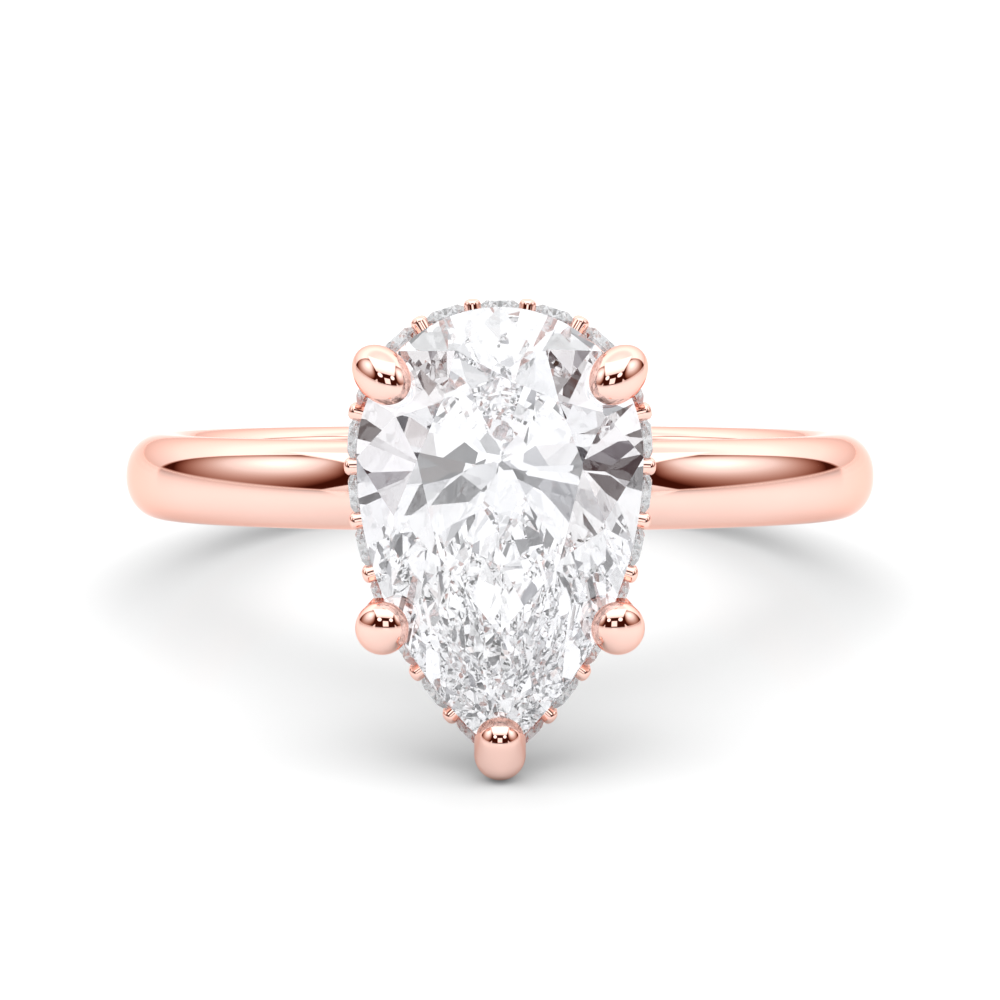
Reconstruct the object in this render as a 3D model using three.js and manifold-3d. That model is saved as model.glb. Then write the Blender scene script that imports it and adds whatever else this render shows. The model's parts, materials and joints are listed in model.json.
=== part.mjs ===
// Pear solitaire engagement ring with a hidden halo, in polished rose gold.
//
// The ring is built in its own frame first: the finger runs along +Z and the head stands out
// towards -Y. The whole ring is then laid on its side, the way it rests on a flat surface:
// on the tip claw in front and on the back of the shank, with +Z up and z = 0 on the surface.
// The origin is under the middle of the ring's box. All sizes are in millimetres.

import * as THREE from 'three';
import { ConvexGeometry } from 'three/addons/geometries/ConvexGeometry.js';
import { ParametricGeometry } from 'three/addons/geometries/ParametricGeometry.js';
import { mergeVertices } from 'three/addons/utils/BufferGeometryUtils.js';
import Module from 'manifold-3d';

const wasm = await Module();
wasm.setup();

// ---------------------------------------------------------------- driving dimensions

const GAP = 0.015;                 // working gap between two pieces that touch
const LIE_TILT = 13.72;            // degrees that the finger axis leans when the ring lies down

const FINGER_RADIUS = 8.25;        // US size 6
const SHANK_THICKNESS = 1.76;
const SHANK_WIDTH = 2.28;
const SHANK_DOME = 1.02;           // radial height of the domed outside
const SHANK_FLAT = 1.5;            // width of the flat inside, between its rounded edges

const PEAR_HALF_WIDTH = 3.49;      // centre stone, 7.0 x 10.9
const PEAR_LEVEL = 0.88;           // how far above the finger's mid plane the pear is widest
const PEAR_RISE = 3.66;            // from the widest level to the round end
const PEAR_WING_RADIUS = 9.27;     // radius of the two flanks that meet at the tip
const GIRDLE_HEIGHT = 14.8;        // girdle plane above the finger's centre
const GIRDLE_THICKNESS = 0.12;
const CROWN_HEIGHT = 1.0;
const PAVILION_DEPTH = 3.05;
const TABLE_SHARE = 0.56;          // table size over girdle size

const HALO_STONE_RADIUS = 0.59;
const HALO_PITCH = 1.325;          // from stone to stone along the halo
const HALO_STONES_A_SIDE = 10;     // besides the one at the round end
const HALO_HEIGHT = 13.68;         // the halo stones' centres above the finger's centre
const HALO_OFFSET = 0.05;          // halo line outside the centre stone's girdle
const HALO_FULLNESS = 2.2;         // 2 is an ellipse, more fills the shoulders out
const CLAW_SEAMS = [3, 8];         // a claw stands in these gaps, counted from the round end

const PRONG_RADIUS = 0.21;
const PRONG_LENGTH = 0.28;
const PRONG_SPREAD = 0.43;         // each of a pair from the halo's middle

const RAIL_TOP = 14.35;
const RAIL_BOTTOM = 12.97;
const GALLERY_HEIGHT = 12.1;
const GALLERY_SCALE = 0.43;        // gallery rail over the pear outline
const GALLERY_RADIUS = 0.32;

const CLAW_ROOT_HEIGHT = 10.45;
const CLAW_ROOT_REACH = 0.95;      // claw roots from the head's axis
const CLAW_BEND_HEIGHT = 14.9;
const CLAW_END_HEIGHT = 15.35;
const CLAW_END_RADIUS = 0.49;
const CLAW_ROOT_RADIUS = 0.31;
const CLAW_WIRE_RADIUS = 0.42;

const BASE_FOOT = 9.2;             // inside the shank, before the collar is cut to saddle it
const BASE_WAIST = 10.15;
const BASE_TOP = 11.05;
const BASE_WAIST_RADIUS = 0.98;
const BASE_RADIUS = 1.25;

// name, direction seen from the head's axis in degrees, reach, radius at the bend and
// how far the end leans in over the stone
const CLAWS = [
  { name: 'claw_upper_right', angle: 45, reach: 4.25, bendRadius: 0.575, lean: 0.44 },
  { name: 'claw_upper_left', angle: 135, reach: 4.25, bendRadius: 0.575, lean: 0.44 },
  { name: 'claw_lower_right', angle: -48.6, reach: 4.37, bendRadius: 0.63, lean: 0.17 },
  { name: 'claw_lower_left', angle: -131.4, reach: 4.37, bendRadius: 0.63, lean: 0.17 },
  { name: 'claw_tip', angle: -90, reach: 6.375, bendRadius: 0.6, lean: 0.27 },
];

// ---------------------------------------------------------------- materials

function roseGold() {
  return new THREE.MeshStandardMaterial({ color: 0xe3a58f, roughness: 0.08, metalness: 1.0 });
}

function diamond() {
  return new THREE.MeshStandardMaterial({ color: 0xf4f6fa, roughness: 0.0, metalness: 0.0 });
}

// ---------------------------------------------------------------- solids

// A closed three.js geometry as a solid that can be joined and cut.
function solidOf(geometry) {
  const bare = geometry.clone();
  bare.deleteAttribute('normal');
  bare.deleteAttribute('uv');
  const merged = mergeVertices(bare, 1e-5);
  const index = merged.index.array;
  const triangles = [];
  for (let i = 0; i < index.length; i += 3) {
    const [a, b, c] = index.slice(i, i + 3);
    if (a !== b && b !== c && c !== a) triangles.push(a, b, c);
  }
  return new wasm.Manifold(new wasm.Mesh({
    numProp: 3,
    vertProperties: new Float32Array(merged.attributes.position.array),
    triVerts: new Uint32Array(triangles),
  }));
}

// A cut solid back as a geometry.
function geometryOf(solid) {
  const mesh = solid.getMesh();
  const geometry = new THREE.BufferGeometry();
  geometry.setAttribute('position', new THREE.BufferAttribute(mesh.vertProperties, 3));
  geometry.setIndex(new THREE.BufferAttribute(mesh.triVerts, 1));
  geometry.computeVertexNormals();
  return geometry;
}

// The outline of a pear seen along the stone's axis, with its tip towards -Y. It starts at the
// tip and goes anticlockwise: right flank, round end, left flank.
class PearCurve extends THREE.Curve {
  constructor(offset = 0, scale = 1, fullness = 2) {
    super();
    this.scale = scale;
    this.fullness = fullness;
    this.halfWidth = PEAR_HALF_WIDTH + offset;
    this.rise = PEAR_RISE + offset;
    this.wingRadius = PEAR_WING_RADIUS + offset;
    this.wingAngle = Math.acos(1 - this.halfWidth / this.wingRadius);
    this.arcLengthDivisions = 800;
  }

  getPoint(t, target = new THREE.Vector3()) {
    const side = t < 0.5 ? 1 : -1;
    const fromTip = t < 0.5 ? 2 * t : 2 - 2 * t;
    let x;
    let y;
    if (fromTip < 0.5) {
      const angle = this.wingAngle * (1 - 2 * fromTip);
      x = this.halfWidth - this.wingRadius * (1 - Math.cos(angle));
      y = -this.wingRadius * Math.sin(angle);
    } else {
      const angle = Math.PI * (fromTip - 0.5);
      x = this.halfWidth * Math.pow(Math.max(Math.cos(angle), 0), 2 / this.fullness);
      y = this.rise * Math.pow(Math.sin(angle), 2 / this.fullness);
    }
    return target.set(side * x, y + PEAR_LEVEL, 0).multiplyScalar(this.scale);
  }

  // Place and outward direction at a distance from the round end, positive towards +X.
  standAt(distance) {
    const share = 0.5 - distance / this.getLength();
    const place = this.getPointAt(share);
    const tangent = this.getTangentAt(share);
    return { place, tangent, outward: new THREE.Vector3(tangent.y, -tangent.x, 0) };
  }
}

// A band around an outline. The section's points are [outward, height], anticlockwise.
function bandGeometry(outline, section, steps) {
  const stands = [];
  for (let i = 0; i < steps; i += 1) {
    const share = i / steps;
    const tangent = outline.getTangentAt(share === 0 ? 1e-3 : share);
    const outward = share === 0
      ? new THREE.Vector3(0, -1, 0)
      : new THREE.Vector3(tangent.y, -tangent.x, 0).normalize();
    stands.push({ place: outline.getPointAt(share), outward });
  }
  const onBand = (u, v, target) => {
    const { place, outward } = stands[Math.round(u * steps) % steps];
    const [out, height] = section[Math.round(v * section.length) % section.length];
    target.copy(place).addScaledVector(outward, out);
    target.z = height;
  };
  return new ParametricGeometry(onBand, steps, section.length);
}

// A wire in the XZ plane. It is drawn through stations, each with the wire's centre, direction
// and radius there; both ends are rounded off.
function wireGeometry(curve, radiusAt, steps, sides) {
  const capRings = 3;
  const stations = [];
  const addStation = (share, along, radius) => {
    const centre = curve.getPointAt(share);
    const tangent = curve.getTangentAt(share);
    stations.push({ centre: centre.addScaledVector(tangent, along), tangent, radius });
  };
  for (let i = 0; i < capRings; i += 1) {
    const angle = (Math.PI / 2) * (1 - i / capRings);
    addStation(0, -radiusAt(0) * Math.sin(angle), i === 0 ? 0 : radiusAt(0) * Math.cos(angle));
  }
  for (let i = 0; i <= steps; i += 1) {
    addStation(i / steps, 0, radiusAt(i / steps));
  }
  for (let i = 1; i <= capRings; i += 1) {
    const angle = (Math.PI / 2) * (i / capRings);
    const radius = i === capRings ? 0 : radiusAt(1) * Math.cos(angle);
    addStation(1, radiusAt(1) * Math.sin(angle), radius);
  }
  const last = stations.length - 1;
  const onWire = (u, v, target) => {
    const { centre, tangent, radius } = stations[Math.round(v * last)];
    const angle = 2 * Math.PI * (Math.round(u * sides) % sides) / sides;
    const across = new THREE.Vector3(tangent.z, 0, -tangent.x);
    target.copy(centre).addScaledVector(across, radius * Math.cos(angle));
    target.y += radius * Math.sin(angle);
  };
  return new ParametricGeometry(onWire, sides, last);
}

// A brilliant cut stone: table towards +Z, girdle's middle at z = 0. outlineAt(share) gives the
// girdle outline and centre is the point over the culet.
function brilliantGeometry(outlineAt, centre, size) {
  const { girdle, crown, pavilion } = size;
  const mains = 8;
  const points = [];
  const addPoint = (share, reach, z) => {
    const rim = outlineAt(share);
    points.push(new THREE.Vector3(
      centre.x + (rim.x - centre.x) * reach,
      centre.y + (rim.y - centre.y) * reach,
      z,
    ));
  };
  const starReach = 0.79;
  const starRise = 0.5;
  const halfReach = 0.24;
  const halfDepth = 0.72;
  for (let i = 0; i < mains; i += 1) {
    addPoint(i / mains, TABLE_SHARE, girdle / 2 + crown);
    addPoint((i + 0.5) / mains, starReach, girdle / 2 + crown * starRise);
    addPoint((i + 0.5) / mains, halfReach, -girdle / 2 - pavilion * halfDepth);
    for (let j = 0; j < size.rimSteps; j += 1) {
      addPoint((i + j / size.rimSteps) / mains, 1, girdle / 2);
      addPoint((i + j / size.rimSteps) / mains, 1, -girdle / 2);
    }
  }
  points.push(new THREE.Vector3(centre.x, centre.y, -girdle / 2 - pavilion));
  return new ConvexGeometry(points);
}

// ---------------------------------------------------------------- shank

// Half-round section with a flat, soft-edged inside, as [radius, height], anticlockwise.
function shankProfile(grow = 0) {
  const domeSteps = 10;
  const edgeSteps = 3;
  const outer = FINGER_RADIUS + SHANK_THICKNESS;
  const halfWidth = SHANK_WIDTH / 2 + grow;
  const edge = SHANK_THICKNESS - SHANK_DOME;
  const profile = [];
  for (let i = 0; i <= domeSteps; i += 1) {
    const angle = Math.PI * (i / domeSteps - 0.5);
    const radius = outer - SHANK_DOME + (SHANK_DOME + grow) * Math.cos(angle);
    profile.push(new THREE.Vector2(radius, halfWidth * Math.sin(angle)));
  }
  for (const side of [1, -1]) {
    for (let i = 1; i <= edgeSteps; i += 1) {
      const turn = side > 0 ? i / edgeSteps : (edgeSteps - i + 1) / edgeSteps;
      const angle = (Math.PI / 2) * turn;
      const radius = outer - SHANK_DOME - (edge + grow) * Math.sin(angle);
      const height = SHANK_FLAT / 2 + (halfWidth - SHANK_FLAT / 2) * Math.cos(angle);
      profile.push(new THREE.Vector2(radius, side * height));
    }
  }
  profile.push(profile[0].clone());
  return profile;
}

function shankGeometry(grow = 0) {
  const segments = 64;
  return new THREE.LatheGeometry(shankProfile(grow), segments).rotateX(Math.PI / 2);
}

// ---------------------------------------------------------------- head

// The head is drawn with its own +Z outwards from the finger's centre and +Y along the finger.

const pearOutline = new PearCurve();
const haloOutline = new PearCurve(HALO_OFFSET, 1, HALO_FULLNESS);
const galleryOutline = new PearCurve(0, GALLERY_SCALE);

function centreStoneGeometry() {
  const culetLevel = 0.4;
  const size = {
    girdle: GIRDLE_THICKNESS,
    crown: CROWN_HEIGHT,
    pavilion: PAVILION_DEPTH,
    rimSteps: 6,
  };
  const rim = (share) => pearOutline.getPoint(share % 1);
  return brilliantGeometry(rim, new THREE.Vector2(0, culetLevel), size);
}

function haloStoneGeometry() {
  const radius = HALO_STONE_RADIUS;
  const size = {
    girdle: 0.05 * radius,
    crown: 0.32 * radius,
    pavilion: 0.86 * radius,
    rimSteps: 2,
  };
  const rim = (share) => {
    const angle = 2 * Math.PI * share;
    return new THREE.Vector2(radius * Math.cos(angle), radius * Math.sin(angle));
  };
  return brilliantGeometry(rim, new THREE.Vector2(0, 0), size);
}

// The hollow that a halo stone needs. An open seat runs out to the front and through the rail.
function seatGeometry(open) {
  const radius = HALO_STONE_RADIUS + GAP;
  const crown = 0.35 * HALO_STONE_RADIUS + GAP;
  const culet = -0.9 * HALO_STONE_RADIUS - GAP;
  const drill = 0.5 * HALO_STONE_RADIUS;
  const through = -1.5;
  const front = 1;
  const bearing = GAP + 0.03;
  const girdle = GAP + 0.02;
  const openProfile = [
    [0, through],
    [drill, through],
    [drill, -0.5 * radius],
    [radius, -bearing],
    [radius, front],
    [0, front],
  ];
  const closedProfile = [
    [0, culet],
    [radius, -girdle],
    [radius, girdle],
    [0.62 * radius, crown],
    [0, crown],
  ];
  const profile = open ? openProfile : closedProfile;
  const points = profile.map(([x, y]) => new THREE.Vector2(x, y));
  return new THREE.LatheGeometry(points, 12).rotateX(Math.PI / 2);
}

// Turns and places a piece so that its +Z looks out of the halo at a distance from the round end.
function standInHalo(piece, distance, outwards = 0) {
  const { place, tangent, outward } = haloOutline.standAt(distance);
  const up = new THREE.Vector3(0, 0, 1);
  piece.quaternion.setFromRotationMatrix(new THREE.Matrix4().makeBasis(tangent, up, outward));
  piece.position.copy(place).addScaledVector(outward, outwards);
  piece.position.z = HALO_HEIGHT;
  piece.updateMatrix();
  return piece;
}

function haloStoneDistances() {
  const distances = [0];
  for (let i = 1; i <= HALO_STONES_A_SIDE; i += 1) {
    distances.push(i * HALO_PITCH, -i * HALO_PITCH);
  }
  return distances.sort((a, b) => a - b);
}

function haloProngDistances() {
  const distances = [];
  for (let i = 1; i <= HALO_STONES_A_SIDE; i += 1) {
    if (CLAW_SEAMS.includes(i)) continue;
    distances.push((i - 0.5) * HALO_PITCH, (0.5 - i) * HALO_PITCH);
  }
  return distances.sort((a, b) => a - b);
}

// A claw's line from its root to its end, as [distance from the head's axis, height, radius].
function clawKnots(claw) {
  const galleryShare = 0.56;
  const haloShare = 0.93;
  const bendBelow = 0.4;
  const bendBack = 0.04;
  return [
    [CLAW_ROOT_REACH, CLAW_ROOT_HEIGHT, CLAW_ROOT_RADIUS],
    [galleryShare * claw.reach, GALLERY_HEIGHT, 0.9 * CLAW_WIRE_RADIUS],
    [haloShare * claw.reach, HALO_HEIGHT, CLAW_WIRE_RADIUS],
    [claw.reach - bendBack, CLAW_BEND_HEIGHT - bendBelow, 0.92 * claw.bendRadius],
    [claw.reach, CLAW_BEND_HEIGHT, claw.bendRadius],
    [claw.reach - claw.lean, CLAW_END_HEIGHT, CLAW_END_RADIUS],
  ];
}

function clawGeometry(claw, grow = 0) {
  const knots = clawKnots(claw);
  const points = knots.map(([x, z]) => new THREE.Vector3(x, 0, z));
  const radii = knots.map(([, , radius]) => radius);
  const curve = new THREE.CatmullRomCurve3(points);
  const heights = points.map((point) => point.z);
  const radiusAt = (share) => {
    const height = curve.getPointAt(share).z;
    let i = 0;
    while (i < heights.length - 2 && height > heights[i + 1]) i += 1;
    const turn = THREE.MathUtils.clamp((height - heights[i]) / (heights[i + 1] - heights[i]), 0, 1);
    return THREE.MathUtils.lerp(radii[i], radii[i + 1], turn) + grow;
  };
  const geometry = wireGeometry(curve, radiusAt, 12, 10);
  return geometry.rotateZ(THREE.MathUtils.degToRad(claw.angle));
}

function growThroughCentre(geometry, share) {
  const grown = geometry.clone();
  grown.translate(0, -PEAR_LEVEL, 0);
  grown.scale(1 + share, 1 + share, 1 + 2 * share);
  return grown.translate(0, PEAR_LEVEL, 0);
}

// Every stone, as the claws have to be notched for it.
function stonesForNotches() {
  const centre = growThroughCentre(centreStoneGeometry(), 0.005).translate(0, 0, GIRDLE_HEIGHT);
  let stones = solidOf(centre);
  const seat = seatGeometry(false);
  for (const distance of haloStoneDistances()) {
    const place = standInHalo(new THREE.Object3D(), distance).matrix;
    stones = stones.add(solidOf(seat.clone().applyMatrix4(place)));
  }
  return stones;
}

function galleryGeometry(grow = 0) {
  const sides = 8;
  const section = [];
  for (let i = 0; i < sides; i += 1) {
    const angle = 2 * Math.PI * (i / sides);
    section.push([
      (GALLERY_RADIUS + grow) * Math.cos(angle),
      GALLERY_HEIGHT + (GALLERY_RADIUS + grow) * Math.sin(angle),
    ]);
  }
  return bandGeometry(galleryOutline, section, 36);
}

// The halo rail: a pear-shaped band whose inside leans back to clear the centre stone.
function haloRailGeometry() {
  const face = -0.02;
  const lip = -0.2;
  const inside = -0.95;
  const shoulder = 13.5;
  const section = [
    [face, RAIL_BOTTOM],
    [face, RAIL_TOP],
    [lip, RAIL_TOP],
    [inside, shoulder],
    [inside, RAIL_BOTTOM],
  ];
  return bandGeometry(haloOutline, section, 52);
}

// A pair of small posts on a common foot: each holds the edges of two neighbouring stones.
function haloProngGeometry() {
  const domeHeight = 0.1;
  const profile = [
    [0, 0],
    [PRONG_RADIUS, 0],
    [PRONG_RADIUS, PRONG_LENGTH - domeHeight],
    [0.7 * PRONG_RADIUS, PRONG_LENGTH - 0.3 * domeHeight],
    [0, PRONG_LENGTH],
  ];
  const points = profile.map(([x, y]) => new THREE.Vector2(x, y));
  const post = new THREE.LatheGeometry(points, 8).rotateX(Math.PI / 2);
  const footWidth = 0.09;
  const footHeight = 0.08;
  const foot = new THREE.BoxGeometry(footWidth, 2 * PRONG_SPREAD, footHeight);
  foot.translate(0, 0, footHeight / 2);
  return geometryOf(solidOf(foot)
    .add(solidOf(post.clone().translate(0, PRONG_SPREAD, 0)))
    .add(solidOf(post.clone().translate(0, -PRONG_SPREAD, 0))));
}

// A turned collar that saddles the shank and holds the claws' roots.
function baseGeometry() {
  const flare = 0.55;
  const chamferHeight = 0.15;
  const chamferWidth = 0.2;
  const profile = [
    [0, BASE_FOOT],
    [BASE_WAIST_RADIUS, BASE_FOOT],
    [BASE_WAIST_RADIUS, BASE_WAIST],
    [BASE_RADIUS, BASE_WAIST + flare],
    [BASE_RADIUS, BASE_TOP - chamferHeight],
    [BASE_RADIUS - chamferWidth, BASE_TOP],
    [0, BASE_TOP],
  ];
  const points = profile.map(([x, y]) => new THREE.Vector2(x, y));
  return new THREE.LatheGeometry(points, 20).rotateX(Math.PI / 2);
}

// ---------------------------------------------------------------- assembly

function namedMesh(name, geometry, material) {
  const mesh = new THREE.Mesh(geometry, material);
  mesh.name = name;
  return mesh;
}

function numbered(name, count) {
  return `${name}_${String(count + 1).padStart(2, '0')}`;
}

function buildClaws(head) {
  const notches = stonesForNotches().add(solidOf(galleryGeometry(GAP)));
  for (const claw of CLAWS) {
    const solid = solidOf(clawGeometry(claw)).subtract(notches);
    head.add(namedMesh(claw.name, geometryOf(solid), roseGold()));
  }
}

function grownClaws() {
  return CLAWS.map((claw) => solidOf(clawGeometry(claw, GAP))).reduce((all, one) => all.add(one));
}

function buildHalo(head) {
  let rail = solidOf(haloRailGeometry()).subtract(grownClaws());
  const seat = seatGeometry(true);
  const stone = haloStoneGeometry();
  haloStoneDistances().forEach((distance, i) => {
    const mesh = standInHalo(namedMesh(numbered('halo_stone', i), stone, diamond()), distance);
    rail = rail.subtract(solidOf(seat.clone().applyMatrix4(mesh.matrix)));
    head.add(mesh);
  });
  head.add(namedMesh('halo_rail', geometryOf(rail), roseGold()));
  const prong = haloProngGeometry();
  haloProngDistances().forEach((distance, i) => {
    head.add(standInHalo(namedMesh(numbered('halo_prong', i), prong, roseGold()), distance));
  });
}

function buildBase(head) {
  const shankThere = solidOf(shankGeometry(GAP).rotateX(-Math.PI / 2));
  const base = solidOf(baseGeometry()).subtract(shankThere).subtract(grownClaws());
  head.add(namedMesh('head_base', geometryOf(base), roseGold()));
  head.add(namedMesh('gallery_rail', galleryGeometry(), roseGold()));
}

function buildHead() {
  const head = new THREE.Group();
  head.rotation.x = Math.PI / 2;
  const stone = namedMesh('centre_stone', centreStoneGeometry(), diamond());
  stone.position.z = GIRDLE_HEIGHT;
  head.add(stone);
  buildClaws(head);
  buildHalo(head);
  buildBase(head);
  return head;
}

function buildRing() {
  const ring = new THREE.Group();
  ring.add(namedMesh('shank', shankGeometry(), roseGold()));
  ring.add(buildHead());
  return ring;
}

// Lays the ring on its side, with its lowest point at z = 0 and its box centred on the origin.
function layDown(ring) {
  ring.rotation.x = -THREE.MathUtils.degToRad(LIE_TILT);
  ring.updateMatrixWorld(true);
  const box = new THREE.Box3().setFromObject(ring, true);
  const middle = box.getCenter(new THREE.Vector3());
  ring.position.set(-middle.x, -middle.y, -box.min.z);
  const whole = new THREE.Group();
  whole.add(ring);
  return whole;
}

export default layDown(buildRing());
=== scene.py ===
"""Pear solitaire engagement ring with a hidden halo, in polished rose gold.

Everything on the ring is drawn in the head's own frame, in millimetres: +X to the right as the
stone is faced, +Y along the finger and +Z outwards from the middle of the finger hole. The
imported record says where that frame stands, so every finished mesh is placed by one matrix.
"""

import json
import logging
import math
import random
from bisect import bisect_left
from dataclasses import dataclass, field
from enum import Enum
from functools import cache
from typing import Iterable, Protocol, Sequence, TypeVar

import bmesh
import bpy
from mathutils import Matrix, Vector


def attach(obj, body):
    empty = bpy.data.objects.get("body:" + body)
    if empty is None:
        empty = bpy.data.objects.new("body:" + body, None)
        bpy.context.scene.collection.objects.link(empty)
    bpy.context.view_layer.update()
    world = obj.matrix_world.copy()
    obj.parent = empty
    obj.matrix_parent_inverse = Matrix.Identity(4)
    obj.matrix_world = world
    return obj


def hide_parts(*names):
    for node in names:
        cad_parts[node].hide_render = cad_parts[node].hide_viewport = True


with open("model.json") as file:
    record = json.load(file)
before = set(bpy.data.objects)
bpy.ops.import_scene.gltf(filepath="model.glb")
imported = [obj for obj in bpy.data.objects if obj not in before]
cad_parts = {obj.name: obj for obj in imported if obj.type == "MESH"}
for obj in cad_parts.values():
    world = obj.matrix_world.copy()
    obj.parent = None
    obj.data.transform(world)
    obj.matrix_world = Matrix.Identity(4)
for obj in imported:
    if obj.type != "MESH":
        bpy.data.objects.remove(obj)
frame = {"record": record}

log = logging.getLogger("ring")

BODY = "root"
GOLD = "rose_gold"
STONE = "diamond"
MM = 0.001
# In millimetres: how far a notch stands off its stone, and how near to each other points merge.
NOTCH_ROOM = 0.012
WELD_DISTANCE = 1e-4

SUM = "ShaderNodeMath"
VECTOR_SUM = "ShaderNodeVectorMath"
RANGE = "ShaderNodeMapRange"
MIX = "ShaderNodeMix"
NOISE = "ShaderNodeTexNoise"

Knot = TypeVar("Knot", float, Vector)
Socket = bpy.types.NodeSocket
Value = Socket | float | tuple[float, ...]


# ---------------------------------------------------------------- frame


@dataclass(frozen=True)
class HeadFrame:
    """Where the head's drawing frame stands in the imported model."""

    centre: Vector
    finger: Vector
    outwards: Vector

    @classmethod
    def from_record(cls, record: dict) -> "HeadFrame":
        """Reads the frame from the record's mounts.

        Args:
            record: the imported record.

        Returns:
            The frame, with its origin in the middle of the finger hole.
        """
        mounts = {mount["name"]: mount for mount in record["mounts"]}
        centre = Vector(mounts["finger"]["pos_m"])
        finger = Vector(mounts["finger"]["axis"]).normalized()
        outwards = Vector(mounts["stone_table"]["axis"]).normalized()
        return cls(centre, finger, outwards)

    @property
    def placing(self) -> Matrix:
        """Places what is drawn in the head's frame.

        Returns:
            The matrix from the drawing in millimetres to the model in metres.
        """
        right = self.finger.cross(self.outwards)
        turn = Matrix((right, self.finger, self.outwards)).transposed().to_4x4()
        return Matrix.Translation(self.centre) @ turn @ Matrix.Scale(MM, 4)


# ---------------------------------------------------------------- outlines


class Outline(Protocol):
    """A closed outline of a stone, seen along its axis and run through anticlockwise."""

    def point(self, share: float) -> Vector:
        """The outline's point at a share of its run, from 0 to 1."""

    def tangent(self, share: float) -> Vector:
        """The direction in which the outline runs there."""


@dataclass(frozen=True)
class RoundOutline:
    """A circle about the origin."""

    radius: float

    def point(self, share: float) -> Vector:
        """The circle's point at a share of its run."""
        angle = math.tau * share
        return Vector((self.radius * math.cos(angle), self.radius * math.sin(angle), 0.0))

    def tangent(self, share: float) -> Vector:
        """The direction of the circle there."""
        angle = math.tau * share
        return Vector((-math.sin(angle), math.cos(angle), 0.0))


@dataclass(frozen=True)
class PearOutline:
    """A pear with its tip towards -Y: a round end over two flanks that are circular arcs.

    The run starts at the tip and goes up the right flank, over the round end and down the left.
    """

    offset: float = 0.0
    scale: float = 1.0
    fullness: float = 2.0
    half_width: float = 3.49
    level: float = 0.88
    rise: float = 3.66
    flank_radius: float = 9.27
    steps: int = 1600

    def point(self, share: float) -> Vector:
        """The outline's point at a share of its run, tip to tip.

        Args:
            share: 0 and 1 at the tip, 0.25 and 0.75 at the widest level, 0.5 at the round end.

        Returns:
            The point, with z at 0.
        """
        share %= 1.0
        side = 1.0 if share < 0.5 else -1.0
        from_tip = 2.0 * share if share < 0.5 else 2.0 - 2.0 * share
        half_width = self.half_width + self.offset
        flank_radius = self.flank_radius + self.offset
        if from_tip < 0.5:
            reach = math.acos(1.0 - half_width / flank_radius)
            angle = reach * (1.0 - 2.0 * from_tip)
            across = half_width - flank_radius * (1.0 - math.cos(angle))
            along = -flank_radius * math.sin(angle)
        else:
            angle = math.pi * (from_tip - 0.5)
            power = 2.0 / self.fullness
            across = half_width * max(math.cos(angle), 0.0) ** power
            along = (self.rise + self.offset) * math.sin(angle) ** power
        return Vector((side * across, along + self.level, 0.0)) * self.scale

    def tangent(self, share: float) -> Vector:
        """The direction in which the outline runs at a share of its run.

        Args:
            share: as for the point there.

        Returns:
            A unit vector, square to the axis at the tip.
        """
        near = 1e-4
        if share % 1.0 < near or share % 1.0 > 1.0 - near:
            return Vector((1.0, 0.0, 0.0))
        return (self.point(share + near) - self.point(share - near)).normalized()

    def spaced(self, count: int) -> list[tuple[Vector, Vector]]:
        """Points at equal distances along the outline.

        Args:
            count: how many; the first is at the tip.

        Returns:
            Each point with the outward direction there.
        """
        length = self._runs()[-1]
        return [self.stand_at(0.5 * length - length * i / count) for i in range(count)]

    def stand_at(self, distance: float) -> tuple[Vector, Vector]:
        """A point at a distance along the outline from the round end.

        Args:
            distance: millimetres, positive towards +X.

        Returns:
            The point and the outward direction there.
        """
        runs = self._runs()
        wanted = 0.5 * runs[-1] - distance
        index = min(max(bisect_left(runs, wanted), 1), self.steps)
        before, after = runs[index - 1], runs[index]
        share = (index - 1 + (wanted - before) / (after - before)) / self.steps
        tangent = self.tangent(share)
        return self.point(share), Vector((tangent.y, -tangent.x, 0.0))

    @cache
    def _runs(self) -> list[float]:
        """Measures the outline.

        Returns:
            The distance along it from the tip to each of its steps.
        """
        runs = [0.0]
        last = self.point(0.0)
        for i in range(1, self.steps + 1):
            here = self.point(i / self.steps)
            runs.append(runs[-1] + (here - last).length)
            last = here
        return runs


# ---------------------------------------------------------------- colours and nodes


def linear(colour: str) -> tuple[float, float, float, float]:
    """An sRGB hex colour as linear red, green, blue and alpha.

    Args:
        colour: six hex digits after a hash.

    Returns:
        Four numbers from 0 to 1.
    """
    parts = [int(colour[i:i + 2], 16) / 255.0 for i in (1, 3, 5)]
    low = 0.04045
    values = [p / 12.92 if p <= low else ((p + 0.055) / 1.055) ** 2.4 for p in parts]
    return (*values, 1.0)


def add_node(
    tree: bpy.types.NodeTree,
    kind: str,
    inputs: dict[str | int, Value] | None = None,
    **settings: str,
) -> bpy.types.Node:
    """Adds a node with its settings, values and links.

    Args:
        tree: the node tree to add to.
        kind: the node's type name.
        inputs: for each input socket, by name or number, a value or the socket that feeds it.
        settings: the node's own properties.

    Returns:
        The new node.
    """
    node = tree.nodes.new(kind)
    for name, value in settings.items():
        setattr(node, name, value)
    for socket, value in (inputs or {}).items():
        if isinstance(value, bpy.types.NodeSocket):
            tree.links.new(value, node.inputs[socket])
        else:
            node.inputs[socket].default_value = value
    return node


# ---------------------------------------------------------------- finishes


class Polish(Enum):
    """How far a surface is taken on the wheel: name, roughness from and to, depth of lines."""

    MIRROR = ("mirror", 0.02, 0.05, 0.02)
    BENCH = ("bench", 0.05, 0.12, 0.06)


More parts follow.
